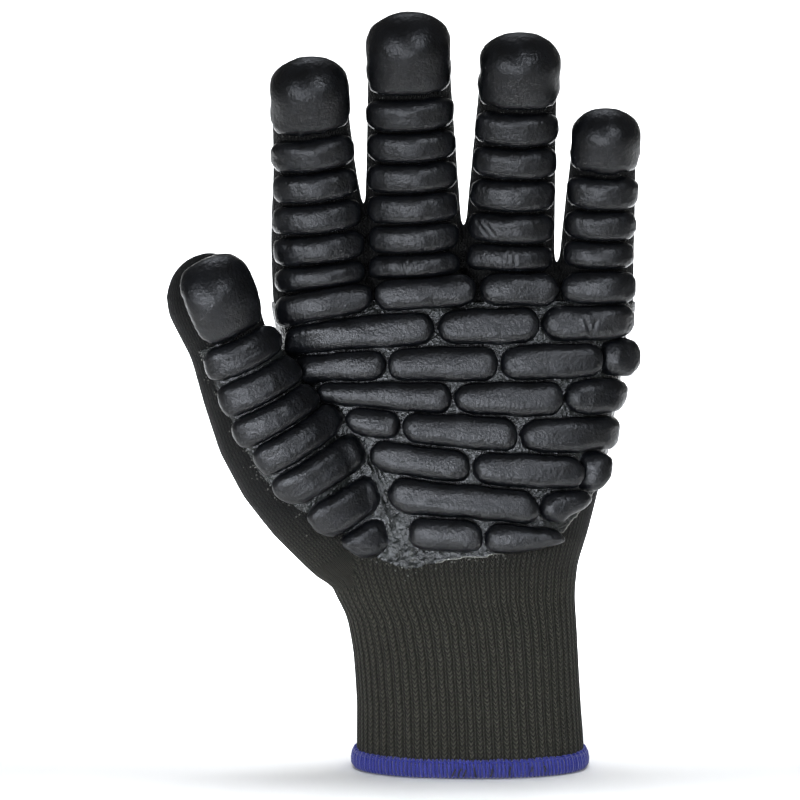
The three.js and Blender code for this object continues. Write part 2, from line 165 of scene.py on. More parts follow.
def piece_from(bm, name):
    """A new object that holds the bmesh, shaded smooth."""
    mesh = bpy.data.meshes.new(name)
    for face in bm.faces:
        face.smooth = True
    bm.to_mesh(mesh)
    bm.free()
    piece = bpy.data.objects.new(name, mesh)
    scene.collection.objects.link(piece)
    return piece


def take_in(piece):
    """Takes a piece's modifiers into its mesh."""
    graph = bpy.context.evaluated_depsgraph_get()
    piece.data = bpy.data.meshes.new_from_object(piece.evaluated_get(graph))
    piece.modifiers.clear()
    piece.data.name = piece.name


def corners(mesh):
    """The places of a mesh's vertices, as rows of three numbers."""
    flat = np.empty(len(mesh.vertices) * 3, np.float32)
    mesh.vertices.foreach_get("co", flat)
    return flat.reshape(-1, 3).astype(float)


def move_corners(mesh, places):
    mesh.vertices.foreach_set("co", np.asarray(places, np.float32).ravel())
    mesh.update()


def normals(mesh):
    flat = np.empty(len(mesh.vertices) * 3, np.float32)
    mesh.vertex_normals.foreach_get("vector", flat)
    return flat.reshape(-1, 3).astype(float)


def tree_of(mesh):
    """A tree of a mesh's faces, which finds the nearest point on them."""
    return BVHTree.FromPolygons([v.co for v in mesh.vertices], [tuple(f.vertices) for f in mesh.polygons])


def mark(mesh, name, values):
    """Writes one number per vertex, for a material to read."""
    mesh.attributes.new(name, "FLOAT", "POINT").data.foreach_set("value", values)


def relax(piece, iterations, group=""):
    """Draws each vertex towards the middle of its neighbours, again and again."""
    ease = piece.modifiers.new("Relax", "SMOOTH")
    ease.factor = 0.5
    ease.iterations = iterations
    ease.vertex_group = group
    take_in(piece)


def remesh(piece, voxel, smoothing):
    """Rebuilds a piece as even quads, then relaxes them, which rounds off its facets."""
    grid = piece.modifiers.new("Even quads", "REMESH")
    grid.mode = "VOXEL"
    grid.voxel_size = voxel
    grid.use_smooth_shade = True
    relax(piece, smoothing)


# %% [markdown]
# ## The knitted hand
# The real glove is knitted in one piece on a machine that makes tubes, so it has no seams. It could be
# sculpted by hand, but its solid already has the right form with flat facets. The outer skin is
# rebuilt as small even quads and relaxed until the facets are gone. Relaxing draws a round form in,
# so the skin is pushed back out along its normals afterwards.

# %% Part the shell into its outer skin and its lining
shell = merged_copy("knit_shell")
rim_height = min(v.co.z for v in shell.verts)
rim = [
    f for f in shell.faces
    if f.normal.z < -0.9 and f.calc_center_median().z < rim_height + 0.3 * MM
]
bmesh.ops.delete(shell, geom=rim, context="FACES")


def island(face):
    """Every face that can be reached from one over shared edges."""
    found, waiting = {face}, [face]
    while waiting:
        for edge in waiting.pop().edges:
            for near in edge.link_faces:
                if near not in found:
                    found.add(near)
                    waiting.append(near)
    return found


highest = max(shell.verts, key=lambda v: v.co.z)
outside = {f.index for f in island(highest.link_faces[0])}
shell.faces.ensure_lookup_table()
lining = shell.copy()
lining.faces.ensure_lookup_table()
bmesh.ops.delete(lining, geom=[f for f in lining.faces if f.index in outside], context="FACES")
bmesh.ops.delete(shell, geom=[f for f in shell.faces if f.index not in outside], context="FACES")
print("Outer skin:", len(shell.faces), "faces. Lining:", len(lining.faces), "faces")

# %% Rebuild the outer skin as even quads
skin_voxel = 1.1 * MM
skin_smoothing = 45
skin_growth = 0.55 * MM

open_edges = [e for e in shell.edges if e.is_boundary]
bmesh.ops.holes_fill(shell, edges=open_edges, sides=0)
bmesh.ops.triangulate(shell, faces=shell.faces)


def even_form(name, voxel, smoothing):
    """The filled form of the hand as even quads, relaxed and pushed back out."""
    form = piece_from(shell.copy(), name)
    remesh(form, voxel, smoothing)
    move_corners(form.data, corners(form.data) + normals(form.data) * skin_growth)
    return form


hand = even_form("knit_hand_form", skin_voxel, skin_smoothing)
hand_tree = BVHTree.FromObject(hand, bpy.context.evaluated_depsgraph_get())
print("The skin has", len(hand.data.polygons), "quads")

# %% [markdown]
# ## The rib-knit cuff
# The cuff is knitted in ribs so that it grips the wrist. A rib is nearly 3 mm wide, wide enough to
# catch the light along its side, so it is real relief and not only a bump in the material. Ribs need
# a mesh whose edges run along them. The cuff is therefore a tube of its own rows and columns, laid on
# the skin by rays from the middle of the wrist, with eight columns to each rib, and the ribs fade out
# where the tube meets the even quads of the hand.

# %% The palm's section by height
# Height, the two sides and the half depth of the cuff and palm, in millimetres
palm_sections = np.array([
    (0, -38.5, 39.5, 25.9),
    (23, -38.4, 37.7, 25.9),
    (40, -39.6, 36.8, 25.4),
    (52, -41.8, 36.2, 24.6),
    (60, -45.9, 35.7, 23.6),
    (70, -50.0, 36.7, 22.2),
    (82, -53.0, 40.5, 20.9),
    (98, -56.0, 44.6, 19.6),
    (120, -60.5, 48.4, 18.6),
    (140, -63.5, 51.8, 16.7),
    (166, -64.0, 52.0, 15.0),
])
cuff_ribs = 70
wales_per_rib = 2


def palm_at(z):
    """Middle, half width and half depth of the palm at a height in metres."""
    left, right, deep = (np.interp(z / MM, palm_sections[:, 0], palm_sections[:, k]) for k in (1, 2, 3))
    return (left + right) / 2 * MM, (right - left) / 2 * MM, deep * MM


# The share of the way round an oval for each turn, so that ribs are evenly wide
oval_turns = np.linspace(-math.pi, math.pi, 721)
oval_ratio = 0.68
steps = np.hypot(np.cos(oval_turns), oval_ratio * np.sin(oval_turns))
oval_shares = np.concatenate([[0], np.cumsum((steps[1:] + steps[:-1]) / 2)])
oval_shares /= oval_shares[-1]

# %% Lay the cuff's tube on the skin
rib_depth = 0.42 * MM
rib_bluntness, rib_base = 0.7, 0.6
columns_per_rib = 8
cuff_top = 84 * MM
row_pitch = 2 * MM
level_foot = 9 * MM
fade_from = 52 * MM
skin_cut = cuff_top + 1.2 * MM

column_count = cuff_ribs * columns_per_rib
column_turns = np.interp(np.arange(column_count) / column_count, oval_shares, oval_turns)
column_ribs = np.arange(column_count) / columns_per_rib
rib_profile = np.abs(np.cos(math.pi * column_ribs)) ** rib_bluntness


def cuff_row(z):
    """Points round the skin at one height, and the direction out of it at each."""
    centre, half, deep = palm_at(z)
    middle = Vector((centre, 0, z))
    points, outward = [], []
    for turn in column_turns:
        ray = Vector((half * math.sin(turn), -deep * math.cos(turn), 0)).normalized()
        hit, normal, _, _ = hand_tree.ray_cast(middle, ray)
        points.append(hit)
        outward.append(Vector((normal.x, normal.y, 0)).normalized())
    return np.array(points), np.array(outward)


bm = bmesh.new()
bm.from_mesh(hand.data)
cut = bmesh.ops.bisect_plane(
    bm, geom=bm.verts[:] + bm.edges[:] + bm.faces[:], dist=1e-7,
    plane_co=(0, 0, skin_cut), plane_no=(0, 0, 1), clear_inner=True,
)
cut_loop = [e for e in cut["geom_cut"] if isinstance(e, bmesh.types.BMEdge)]

foot_points, foot_outward = cuff_row(level_foot)
heights = np.arange(cuff_top, rim_height + row_pitch / 2, -row_pitch)
heights = np.append(heights, rim_height)
above = None
for z in heights:
    if z < level_foot:
        points, outward = foot_points.copy(), foot_outward
        points[:, 2] = z
    else:
        points, outward = cuff_row(z)
    fade = np.clip((cuff_top - z) / (cuff_top - fade_from), 0, 1)
    points += outward * ((rib_profile - rib_base) * rib_depth * fade)[:, None]
    ring = [bm.verts.new(p) for p in points]
    loop = [bm.edges.new((ring[i - 1], ring[i])) for i in range(column_count)]
    bmesh.ops.bridge_loops(bm, edges=loop + (above or cut_loop))
    above = loop
print("The cuff has", len(heights), "rows of", column_count, "columns")

# %% Join the lining at the rim
lining_mesh = bpy.data.meshes.new("lining")
lining.to_mesh(lining_mesh)
lining.free()
before = set(bm.verts)
bm.from_mesh(lining_mesh)
added = [v for v in bm.verts if v not in before]
lining_rim = [e for v in added for e in v.link_edges if e.is_boundary]
lining_rim = list(dict.fromkeys(lining_rim))
bmesh.ops.bridge_loops(bm, edges=above + lining_rim)
loose = [e for e in bm.edges if e.is_boundary]
print("The knit has", len(bm.faces), "faces and", len(loose), "open edges")
knit = piece_from(bm, "knit_glove")
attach(knit, "root")
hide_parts("knit_shell")


# %% [markdown]
# ## The rubber film
# The cushions are moulded together with a thin film that bonds them to the knit. The film follows the
# knit closely, so it is made from the knit's own skin: the quads under the film's solid are kept,
# divided once and lifted off. On the real glove the film is puckered in the hollow beside the thumb
# and ends in small blobs of rubber at the heel of the hand, which are raised here from noise. A skin of
# slightly larger quads is used, because the film gets two sides and its quads are divided.

# %% Lift a sheet off the skin where the film's solid lies
film_lift = 1.15 * MM
film_wall = 0.8 * MM
film_reach = 0.95 * MM
film_voxel = 1.35 * MM
film_smoothing = 30
facing_limit = -0.2
film_top = 161.5 * MM
# The film's edge beside the thumb: height and place across, in millimetres
film_side = np.array([
    (60, -120), (74, -32), (83, -44.5), (97, -68), (120, -80), (144.5, -91), (160, -96),
])
# The film's lower edge: place across and height, in millimetres
film_foot = np.array([
    (-40, 60), (-12, 60), (-8, 73.5), (8, 74.5), (24, 79.5), (34, 83), (60, 84),
])
brink_rounds = 5

film_tree = tree_of(frame["nodes"]["palm_coating"].data)
film_form = even_form("film_form", film_voxel, film_smoothing)
bm = bmesh.new()
bm.from_mesh(film_form.data)
bpy.data.objects.remove(film_form)


def under_film(face):
    """Whether the film's solid lies right over a face of the skin, in front and below the knuckles."""
    middle = face.calc_center_median()
    side = np.interp(middle.z / MM, film_side[:, 0], film_side[:, 1]) * MM
    foot = np.interp(middle.x / MM, film_foot[:, 0], film_foot[:, 1]) * MM
    if face.normal.y > facing_limit or not foot < middle.z < film_top or middle.x < side:
        return False
    over = middle + face.normal * (film_lift - film_wall / 2)
    return film_tree.find_nearest(over)[3] < film_reach


bmesh.ops.delete(bm, geom=[f for f in bm.faces if not under_film(f)], context="FACES")
lowest = min(bm.verts, key=lambda v: v.co.z)
kept = island(lowest.link_faces[0])
bmesh.ops.delete(bm, geom=[f for f in bm.faces if f not in kept], context="FACES")
for _ in range(brink_rounds):
    brink = [v for v in bm.verts if v.is_boundary]
    bmesh.ops.smooth_vert(
        bm, verts=brink, factor=0.5, use_axis_x=True, use_axis_y=True, use_axis_z=True,
    )
bmesh.ops.subdivide_edges(bm, edges=bm.edges, cuts=1, use_grid_fill=True, smooth=0.0)
bm.normal_update()
print("The film's sheet has", len(bm.faces), "quads")

# %% Pucker the sheet and give it its wall
# Places and widths in millimetres. The streaks of the puckers are long along their line; one deeper
# fold runs down the middle with a raised bank on each side
pucker_line = (Vector((-34, 0, 109)), Vector((-25.5, 0, 84)))
pucker_width = 9
pucker_depth = 0.45 * MM
streak_width, streak_length = 2.1, 6.5
streak_sharpness, streak_floor = 3.2, -0.6
fold_depth = 0.55 * MM
fold_width = 0.55
bank_place, bank_width, bank_share = 1.4, 0.6, 0.7
fold_wander, wander_length = 0.8, 4
nodule_middle = Vector((-21, 0, 74))
nodule_reach = Vector((11, 1, 7))
nodule_size = 1.7
nodule_height = 1.0 * MM
nodule_slope = 1.6
film_grain = 1.1
grain_height = 0.09 * MM


def bell(distance, width):
    """1 in the middle, and falling smoothly to 0 beyond the width."""
    return math.exp(-((distance / width) ** 2))


def nodule_at(at):
    """The share of a nodule's height at a point: 1 on the nodules' crests at the heel, 0 far from it."""
    spot = at / MM
    near = math.exp(-sum(((spot[k] - nodule_middle[k]) / nodule_reach[k]) ** 2 for k in (0, 2)))
    return near * (1 - nodule_slope * noise.voronoi(spot / nodule_size)[0][0])


def film_relief(at):
    """How far the film stands up at a point, in metres."""
    spot = at / MM
    flat = Vector((spot.x, 0, spot.z))
    start, end = pucker_line
    along = (end - start).normalized()
    across = along.cross(Vector((0, 1, 0)))
    beside = flat - start
    length = (end - start).length
    run = max(0.0, min(beside.dot(along), length))
    near = bell((beside - along * run).length, pucker_width)
    streak = Vector((flat.dot(across) / streak_width, 0.3, flat.dot(along) / streak_length))
    crease = max(1 - abs(noise.noise(streak)) * streak_sharpness, streak_floor)
    sway = fold_wander * noise.noise(Vector((run / wander_length, 7.1, 0)))
    away = beside.dot(across) + sway
    fold = bell(away, fold_width) - bank_share * bell(abs(away) - bank_place, bank_width)
    fold *= fold_depth if 0 < run < length else 0
    grain = noise.noise(spot / film_grain)
    return (
        pucker_depth * near * crease - fold
        + nodule_height * nodule_at(at)
        + grain_height * grain
    )


for v in list(bm.verts):
    v.co += v.normal * (film_lift + film_relief(v.co))
edge_points = [v.co.copy() for v in bm.verts if v.is_boundary]
film = piece_from(bm, "rubber_film")
wall = film.modifiers.new("Wall", "SOLIDIFY")
wall.thickness = film_wall
wall.offset = -1
take_in(film)

# %% [markdown]
# The film's trimmed edge at the little finger's side catches a thin highlight, and the nodules at the
# heel glint silvery. Both are painted highlights: they are marked on the mesh as a share from 0 to 1
# of a pale grey, which the film's material mixes into its colour.
# Small drops of rubber splashed off the mould: along the film's lower edge, and in the gaps between
# the ribs of the fingers. They are plain balls of twenty faces, half sunk in the knit, and a share of
# the same pale grey is painted on them as a glint.

# %% Mark the painted highlights on the film's cut lip and its nodules
lip_highlight_width = 0.5 * MM
lip_left = -12 * MM
lip_top = 106 * MM
nodule_highlight = 0.9
lip_points = [p for p in edge_points if p.x > lip_left and p.z < lip_top]
lip_tree = KDTree(len(lip_points))
for i, p in enumerate(lip_points):
    lip_tree.insert(p, i)
lip_tree.balance()
# Painted highlight: pale grey along the cut lip and on the crests of the nodules
film_painted_highlight = [
    max(0.0, 1 - lip_tree.find(v.co)[2] / lip_highlight_width, nodule_highlight * max(0.0, nodule_at(v.co)) ** 3)
    for v in film.data.vertices
]

# %% Scatter drops of rubber
edge_drops = 260
edge_spread = 1.3 * MM
edge_top, edge_left, heel_top = 150 * MM, -30 * MM, 80 * MM
gap_drops = 12
gap_inset, gap_spread = 2 * MM, 0.3 * MM
gap_drop_share = 0.6
drop_radii = (0.18 * MM, 0.42 * MM)
# The share of pale grey painted on every drop as a glint
drop_highlight = 0.45
dice = np.random.default_rng(7)
finger_names = ("index", "middle", "ring", "little")


def on_skin(x, z):
    """The point of the skin in front at a place across and a height, or None."""
    return hand_tree.ray_cast(Vector((x, -0.2, z)), Vector((0, 1, 0)))[0]


spots = []
low_edge = [p for p in edge_points if p.z < edge_top and (p.x < edge_left or p.z < heel_top)]
for i in dice.integers(len(low_edge), size=edge_drops):
    near = low_edge[i]
    away = dice.exponential(edge_spread)
    turn = dice.uniform(math.pi * 0.9, math.pi * 1.7)
    spots.append((near.x + away * math.cos(turn), near.z + away * math.sin(turn), 1.0))
for name in finger_names:
    ribs = sorted(node for node in frame["nodes"] if node.startswith(name + "_rib_"))
    for upper, lower in zip([name + "_tip_pad"] + ribs[:-1], ribs):
        upper_low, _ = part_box(upper)
        lower_low, lower_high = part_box(lower)
        gap = (upper_low.z + lower_high.z) / 2
        for x in dice.uniform(lower_low.x + gap_inset, lower_high.x - gap_inset, gap_drops):
            spots.append((x, gap + dice.normal(0, gap_spread), gap_drop_share))
drops = bmesh.new()
for x, z, share in spots:
    place = on_skin(x, z)
    if place:
        radius = dice.uniform(*drop_radii) * share
        at_place = Matrix.Translation(place)
        bmesh.ops.create_icosphere(drops, subdivisions=1, radius=radius, matrix=at_place)
for face in drops.faces:
    face.smooth = True
drop_mesh = bpy.data.meshes.new("drops")
drops.to_mesh(drop_mesh)
drops.free()
joined = bmesh.new()
joined.from_mesh(film.data)
joined.from_mesh(drop_mesh)
joined.to_mesh(film.data)
joined.free()
# One share per vertex for the painted highlights of the film and the painted glint of the drops
painted_highlight = np.full(len(film.data.vertices), drop_highlight)
painted_highlight[:len(film_painted_highlight)] = film_painted_highlight
mark(film.data, "painted_highlight", painted_highlight)
print(len(spots), "drops of rubber")
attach(film, "root")
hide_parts("palm_coating")
print("The film has", len(film.data.polygons), "faces")

# %% [markdown]
# ## The rubber cushions
# Each cushion is a soft block of moulded chloroprene rubber. A bevelled box would look stiff, so each
# one is rebuilt as even quads and blown up a little as a cloth with air inside, which crowns its top
# and rounds its shoulders as the foaming rubber does in its mould. Cloth works best at the size of a
# seat cushion, so the cushions are enlarged for it and brought back afterwards. All of them swell in
# the same twenty frames.

# %% Rebuild each cushion as even quads
def is_cushion(node):
    return "_rib_" in node or node.endswith("tip_pad") or node.startswith("palm_pad")


enlarge = 5
cushion_voxel = 1.15 * MM
cushion_smoothing = 7
dome_smoothing = 60
dome_foot, dome_rise = 0.3, 0.3
tip_crown = 2 * MM

# Cushions whose outline in the photo is fuller than their solid: how far their middle moves and how
# much they stretch, across and up, in millimetres and shares
fuller = {
    "thumb_tip_pad": ((-0.2, -0.5), (1.02, 1.04)),
    "index_tip_pad": ((0.2, 1.0), (1.0, 1.06)),
    "middle_tip_pad": ((0, -0.1), (1.0, 1.02)),
    "ring_tip_pad": ((0, 0.5), (1.0, 1.05)),
    "little_tip_pad": ((0, 0.3), (1.0, 1.04)),
    "palm_pad_h2": ((1.2, -0.3), (1.18, 1.15)),
    "palm_pad_d1": ((0, -0.1), (1.03, 1.15)),
    "thumb_rib_7": ((1.5, -1.3), (1.4, 1.1)),
    "thumb_rib_6": ((1.2, -0.4), (1.12, 1.1)),
    "thumb_rib_5": ((0.9, 1.6), (1.08, 1.0)),
    "thumb_rib_4": ((0.2, 1.2), (1.0, 1.0)),
    "palm_pad_c4": ((0.2, 0), (1.5, 1.35)),
    "palm_pad_f3": ((-0.6, -0.2), (1.7, 1.6)),
}

# Cushions of that list that narrow towards one side: which side, and the share of the height lost there
tapers = {"palm_pad_h2": (1, 0.6), "thumb_rib_7": (-1, 0.6), "palm_pad_f3": (1, 0.3)}


def make_fuller(block, node):
    """Stretches, narrows and moves a cushion's block as its rows in the two lists say."""
    low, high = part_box(node)
    middle = (low + high) / 2
    shift, stretch = fuller[node]
    side, taper = tapers.get(node, (1, 0))
    bmesh.ops.translate(block, verts=block.verts, vec=-middle)
    bmesh.ops.scale(block, verts=block.verts, vec=(stretch[0], 1, stretch[1]))
    reach = max(abs(v.co.x) for v in block.verts)
    for v in block.verts:
        v.co.z *= 1 - taper * max(0, side * v.co.x / reach)
    moved_middle = middle + Vector((shift[0], 0, shift[1])) * MM
    bmesh.ops.translate(block, verts=block.verts, vec=moved_middle)


def dome_shares(piece):
    """For each corner of a fingertip's pad: 0 in its lower part, rising to 1 in its dome."""
    heights = corners(piece.data)[:, 2]
    share = (heights - heights.min()) / np.ptp(heights)
    return np.clip((share - dome_foot) / dome_rise, 0, 1)


def crown(piece):
    """Raises the front of a fingertip's pad, most in its middle."""
    places = corners(piece.data)
    flat = places[:, [0, 2]]
    beside = (flat - (flat.min(axis=0) + flat.max(axis=0)) / 2) / (np.ptp(flat, axis=0) / 2)
    rise = np.clip(1 - (beside ** 2).sum(axis=1), 0, 1) * tip_crown * enlarge
    places[:, 1] -= np.where(normals(piece.data)[:, 1] < 0, rise, 0)
    move_corners(piece.data, places)


cushions = {}
for node in sorted(filter(is_cushion, frame["nodes"])):
    block = merged_copy(node)
    if node in fuller:
        make_fuller(block, node)
    bmesh.ops.scale(block, vec=(enlarge,) * 3, verts=block.verts)
    piece = piece_from(block, node.replace("pad", "cushion").replace("rib", "cushion"))
    remesh(piece, cushion_voxel * enlarge, cushion_smoothing)
    if node.endswith("tip_pad"):
        dome = piece.vertex_groups.new(name="dome")
        for i, weight in enumerate(dome_shares(piece)):
            dome.add([i], weight, "REPLACE")
        relax(piece, dome_smoothing, dome.name)
        crown(piece)
    cushions[node] = piece
print(len(cushions), "cushions,", sum(len(c.data.polygons) for c in cushions.values()), "quads")

# %% Swell the cushions
swell_pressure = 4
swell_frames = 20
swell_limit = 0.55 * MM

before_swelling = {node: corners(piece.data) for node, piece in cushions.items()}
for piece in cushions.values():
    cloth = piece.modifiers.new("Swell", "CLOTH")
    cloth.settings.use_pressure = True
    cloth.settings.uniform_pressure_force = swell_pressure
    cloth.settings.effector_weights.gravity = 0
    cloth.point_cache.frame_start = 1
    cloth.point_cache.frame_end = swell_frames
for frame_number in range(1, swell_frames + 1):
    scene.frame_set(frame_number)
for piece in cushions.values():
    take_in(piece)
moved = []
for node, piece in cushions.items():
    step = corners(piece.data) - before_swelling[node]
    length = np.linalg.norm(step, axis=1, keepdims=True)
    moved.append(length.max() / enlarge / MM)
    limit = swell_limit * enlarge
    step *= np.minimum(1, limit / np.maximum(length, 1e-9))
    move_corners(piece.data, (before_swelling[node] + step) / enlarge)
print("Before the limit a cushion swelled by", round(float(np.median(moved)), 2), "mm")

# %% [markdown]
# The mould leaves only a narrow groove between two cushions. Each side of a cushion therefore grows
# until it nearly meets its neighbour, while its top and its free ends grow only a little.

# %% Grow the cushions until they nearly meet
groove = 0.4 * MM
most_growth = 2.7 * MM
free_growth = 0.55 * MM
neighbour_reach = 8.5 * MM
growth_easing = 8
growth_smoothing = 2
# A rib grows in its corners too, so that its ends are blunt. A fingertip's pad grows only downwards,
# and its dome grows all round
rib_turn, tip_turn = 0.5, 2.5
dome_growth = 0.95 * MM


cushion_trees = {node: tree_of(piece.data) for node, piece in cushions.items()}
cushion_spans = {
    node: (corners(piece.data).min(axis=0), corners(piece.data).max(axis=0))
    for node, piece in cushions.items()
}


def are_near(one, other):
    """Whether two cushions on the same finger, or with one of them on the palm, lie side by side."""
    (low, high), (other_low, other_high) = cushion_spans[one], cushion_spans[other]
    gap = (np.maximum(low, other_low) - np.minimum(high, other_high)).max()
    fingers = {one.split("_")[0], other.split("_")[0]}
    return one != other and gap < neighbour_reach and (len(fingers) == 1 or "palm" in fingers)


def growth_at(at, normal, trees, turn):
    """How far a cushion's surface grows at a point: as far as half the groove beside it allows."""
    found = [tree.find_nearest(at, neighbour_reach) for tree in trees]
    found = [hit for hit in found if hit[0] is not None]
    if not found:
        return free_growth
    spot, _, _, distance = min(found, key=lambda hit: hit[3])
    room = (distance - groove) / 2
    facing = max(0.0, (spot - at).normalized().dot(normal))
    share = facing ** turn
    return min(most_growth, room) * share + min(free_growth, max(room, 0)) * (1 - share)


def eased(mesh, values, rounds):
    """Evens out one value per vertex along the mesh's edges."""
    ends = np.empty(len(mesh.edges) * 2, np.int32)
    mesh.edges.foreach_get("vertices", ends)
    one, other = ends.reshape(-1, 2).T
    count = np.bincount(ends, minlength=len(values))
    for _ in range(rounds):
        total = np.bincount(one, values[other], len(values))
        total += np.bincount(other, values[one], len(values))
        values = (values + total / count) / 2
    return values


for node, piece in cushions.items():
    trees = [cushion_trees[other] for other in cushions if are_near(node, other)]
    is_tip = node.endswith("tip_pad")
    turn = tip_turn if is_tip else rib_turn
    growth = np.array([growth_at(v.co, v.normal, trees, turn) for v in piece.data.vertices])
    if is_tip:
        growth += dome_growth * dome_shares(piece)
    growth = eased(piece.data, growth, growth_easing)
    move_corners(piece.data, corners(piece.data) + normals(piece.data) * growth[:, None])
    relax(piece, growth_smoothing)
print("The cushions have grown to a groove of", round(groove / MM, 2), "mm")

# %% [markdown]
# A cushion is bonded to the film or the knit all round its foot, so its lowest part is drawn down onto
# them. A few cushions are creased, as in the photo, and two on the thumb are marked for ripples, which
# their material draws.

# %% Smooth the cushions and set them down on the glove
rest_gap = 0.03 * MM
settle_drop, tip_settle_drop = 0.9 * MM, 2.3 * MM
settle_reach = 2.6 * MM

host_corners, host_faces = [], []
for host in (knit, film):
    start = len(host_corners)
    host_corners += [v.co for v in host.data.vertices]
    host_faces += [tuple(start + i for i in f.vertices) for f in host.data.polygons]
host_tree = BVHTree.FromPolygons(host_corners, host_faces)


def set_down(at, most_drop):
    """Draws a point near the glove's surface down onto it, and leaves higher points alone."""
    spot, _, _, height = host_tree.find_nearest(at)
    share = max(0.0, 1 - height / settle_reach)
    drop = min(max(height - rest_gap, 0.0), most_drop * share ** 0.7)
    return at + (spot - at).normalized() * drop if height > 1e-6 else at


# Creases in the cushions' tops: the cushion, the two ends of the crease across and up in millimetres
creases = [
    ("middle_rib_6", (-24.2, 175.8), (-22.6, 169.6)),
    ("middle_rib_6", (-21.0, 175.2), (-21.9, 171.0)),
    ("ring_rib_4", (2.2, 187.8), (7.0, 181.4)),
    ("ring_rib_4", (4.0, 188.0), (7.6, 183.4)),
    ("ring_rib_5", (10.4, 178.6), (11.2, 171.8)),
    ("ring_rib_5", (12.7, 177.6), (12.2, 172.8)),
    ("ring_rib_5", (14.3, 178.2), (14.8, 173.6)),
    ("palm_pad_b3", (38.5, 155.5), (40.5, 149.5)),
    ("palm_pad_b3", (42.0, 154.5), (41.2, 150.2)),
]
crease_depth = 0.32 * MM
crease_width = 0.5
brim_place, brim_width, brim_share = 1.1, 0.5, 0.4
# Cushions with ripples, and where their middle is, across and up in millimetres
rippled_cushions = {"thumb_rib_2": (-72.5, 136.5), "thumb_rib_3": (-64.5, 126.0)}
ripple_reach = 6


def crease_at(node, at):
    """How deep the creases of a cushion are at a point."""
    depth = 0.0
    spot = Vector((at.x / MM, at.z / MM))
    for owner, start, end in creases:
        if owner == node:
            start, end = Vector(start), Vector(end)
            along = (end - start).normalized()
            run = min(max((spot - start).dot(along), 0), (end - start).length)
            away = (spot - start - along * run).length
            depth += bell(away, crease_width) - brim_share * bell(away - brim_place, brim_width)
    return depth * crease_depth


for node, piece in cushions.items():
    even = piece.modifiers.new("Even", "SUBSURF")
    even.levels = even.render_levels = 1
    take_in(piece)
    facings = normals(piece.data)[:, 1]
    most_drop = tip_settle_drop if node.endswith("tip_pad") else settle_drop
    for v, facing in zip(piece.data.vertices, facings):
        v.co = set_down(v.co, most_drop)
        if facing < 0:
            v.co.y += crease_at(node, v.co)
    piece.data.update()
    if node in rippled_cushions:
        spots = corners(piece.data)[:, [0, 2]] / MM - rippled_cushions[node]
        ripple = np.exp(-(spots ** 2).sum(axis=1) / ripple_reach ** 2)
        mark(piece.data, "rippled", ripple)
    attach(piece, "root")
    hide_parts(node)
bpy.data.objects.remove(hand)
print("The cushions have", sum(len(c.data.polygons) for c in cushions.values()), "quads")

# %% [markdown]
# ## The overlocked hem
# A machine winds three threads round the cut edge of the cuff so that it can't ladder. One thread runs
# round the edge in a long spiral, and a second locks its loops in a zig-zag along the top. Both are
# curves with a round bevel, turned into mesh. A thin band lies under them, because real threads pack
# so tightly that no knit shows through.

# %% Points round the rim
stitch_count = 164
thread_radius = 0.58 * MM
lock_radius = 0.34 * MM
band_inset = 0.55 * MM


def rim_point(share, offset, height):
    """A point round the cuff's edge: share of the way round, distance out of the knit, height."""
    place = share % 1 * column_count
    i = int(place)
    j = (i + 1) % column_count
    t = place - i
    at = foot_points[i] * (1 - t) + foot_points[j] * t
    out = foot_outward[i] * (1 - t) + foot_outward[j] * t
    return Vector((at[0] + out[0] * offset, at[1] + out[1] * offset, height))


def thread(points, radius, name, closed=True):
    """A round thread through the points, as a mesh."""
    line = bpy.data.curves.new(name, "CURVE")
    line.dimensions = "3D"
    line.bevel_depth = radius
    line.bevel_resolution = 1
    spline = line.splines.new("POLY")
    spline.points.add(len(points) - 1)
    spline.points.foreach_set("co", [c for p in points for c in (*p, 1)])
    spline.use_cyclic_u = closed
    line.use_fill_caps = not closed
    holder = bpy.data.objects.new(name, line)
    scene.collection.objects.link(holder)
    graph = bpy.context.evaluated_depsgraph_get()
    mesh = bpy.data.meshes.new_from_object(holder.evaluated_get(graph))
    bpy.data.objects.remove(holder)
    return mesh


# Across the edge from the top outside, round the bottom, to the top inside and back through the knit:
# distance out of the knit and height, in millimetres
wrap_section = [
    (0.75, 6.0), (1.35, 4.8), (1.65, 3.2), (1.55, 1.7), (0.95, 0.8), (-0.6, 0.6),
    (-2.2, 0.8), (-3.0, 1.8), (-3.1, 3.2), (-2.8, 4.6), (-2.2, 5.6), (-0.8, 6.1),
]
wrap_points = []
for stitch in range(stitch_count):
    rise = (0.35 if stitch % 2 else -0.3) + 0.35 * noise.noise(Vector((stitch / 3, 0.5, 0)))
    for k, (offset, height) in enumerate(wrap_section):
        top = rise * max(0.0, (height - 3) / 3)
        share = (stitch + k / len(wrap_section)) / stitch_count
        wrap_points.append(rim_point(share, offset * MM, (height + top) * MM))
lock_points = []
for stitch in range(stitch_count):
    rise = 0.55 if stitch % 2 else -0.35
    lock_points.append(rim_point((stitch + 0.1) / stitch_count, 0.95 * MM, (5.7 + rise) * MM))
    lock_points.append(rim_point((stitch + 0.6) / stitch_count, 1.2 * MM, 5.6 * MM))

# A few black stitches of the cuff's own yarn show on the hem's front: how far to the right, where they
# start and end in height, and how far they lean, in millimetres
black_stitches = [
    (-6.2, 1.2, 3.6, 1.0), (-4.4, 1.0, 3.9, 1.2), (-2.6, 1.2, 3.4, 0.9), (1.6, 0.9, 4.2, -0.5),
    (6.4, 1.1, 3.8, 0.7), (12.5, 1.0, 4.4, 0.6), (19.5, 2.2, 4.0, 0.5), (24.5, 2.0, 4.2, -0.4),
]
black_radius = 0.3 * MM
black_offset = 2.3
black_bow = 0.25


def share_at(x):
    """How far round the rim the front of the cuff reaches a place across it."""
    front = [i for i in range(column_count) if foot_points[i][1] < 0]
    nearest = min(front, key=lambda i: abs(foot_points[i][0] - x))
    return nearest / column_count


